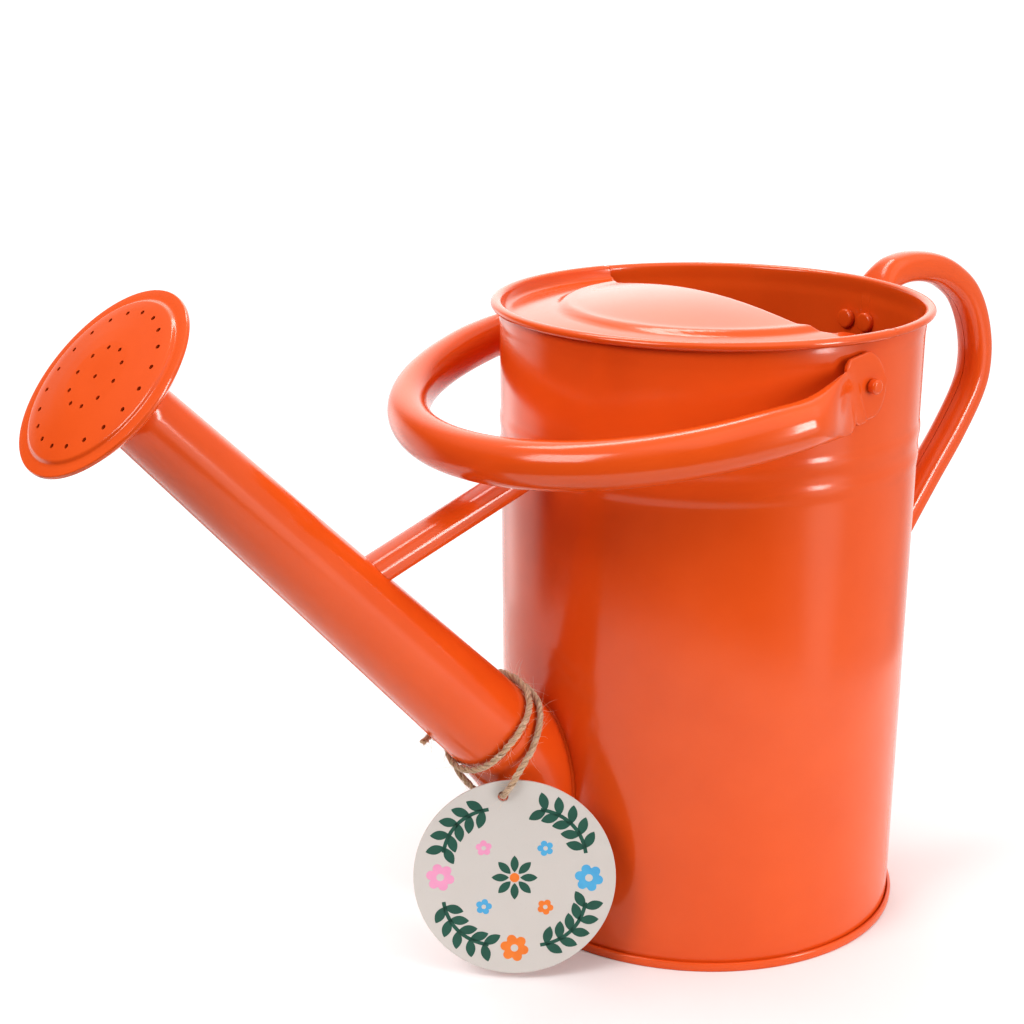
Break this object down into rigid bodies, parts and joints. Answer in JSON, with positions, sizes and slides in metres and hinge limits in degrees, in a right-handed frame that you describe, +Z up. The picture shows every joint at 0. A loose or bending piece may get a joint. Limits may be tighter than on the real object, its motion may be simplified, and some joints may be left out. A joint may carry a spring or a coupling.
{
  "type": "watering can",
  "caption": "Painted sheet-steel watering can with a half cover, swing bail, back handle, push-fit rose and a card swing tag on twine.",
  "frame": {"origin": "on the floor, under the middle of the can's overall box", "axes": "+Z up; -X along the spout towards the rose, +X towards the back handle; +Y across the can, along the bail's pivots"},
  "size_m": [0.4564, 0.2066, 0.2833],
  "materials": {
    "orange_paint": "semi-gloss orange paint on sheet steel",
    "rim_steel": "bare drawn steel wire, hidden in the rolled rim",
    "tag_card": "matt off-white card with a printed pattern of leaves",
    "jute_twine": "twisted jute twine with loose fibres"
  },
  "bodies": {
    "can": {"body_shell": "orange_paint", "rim_wire": "rim_steel", "base_pan": "orange_paint", "top_cover": "orange_paint", "spout_tube": "orange_paint", "spout_elbow": "orange_paint", "spout_brace": "orange_paint", "bail_rivet_near": "orange_paint", "bail_rivet_far": "orange_paint", "bail_washer_near": "orange_paint", "bail_washer_far": "orange_paint", "rear_handle": "orange_paint", "handle_rivet_upper_near": "orange_paint", "handle_rivet_upper_far": "orange_paint", "handle_rivet_lower_near": "orange_paint", "handle_rivet_lower_far": "orange_paint", "twine": "jute_twine"},
    "bail": {"bail_handle": "orange_paint"},
    "rose": {"rose_face": "orange_paint", "rose_back": "orange_paint", "rose_neck": "orange_paint"},
    "swing_tag": {"tag": "tag_card"}
  },
  "joints": [
    {"name": "bail_swing", "type": "hinge", "parent": "can", "child": "bail", "pos_m": [0.0627, 0, 0.2356], "axis": [0, 1, 0], "range_deg": [-2, 174]},
    {"name": "rose_pull", "type": "slide", "parent": "can", "child": "rose", "axis": [-0.6963, 0, 0.7178], "range_m": [0, 0.06]},
    {"name": "tag_swing", "type": "hinge", "parent": "can", "child": "swing_tag", "pos_m": [-0.05402, -0.01733, 0.07529], "axis": [-0.8059, 0.592, 0], "range_deg": [0, 15]}
  ]
}
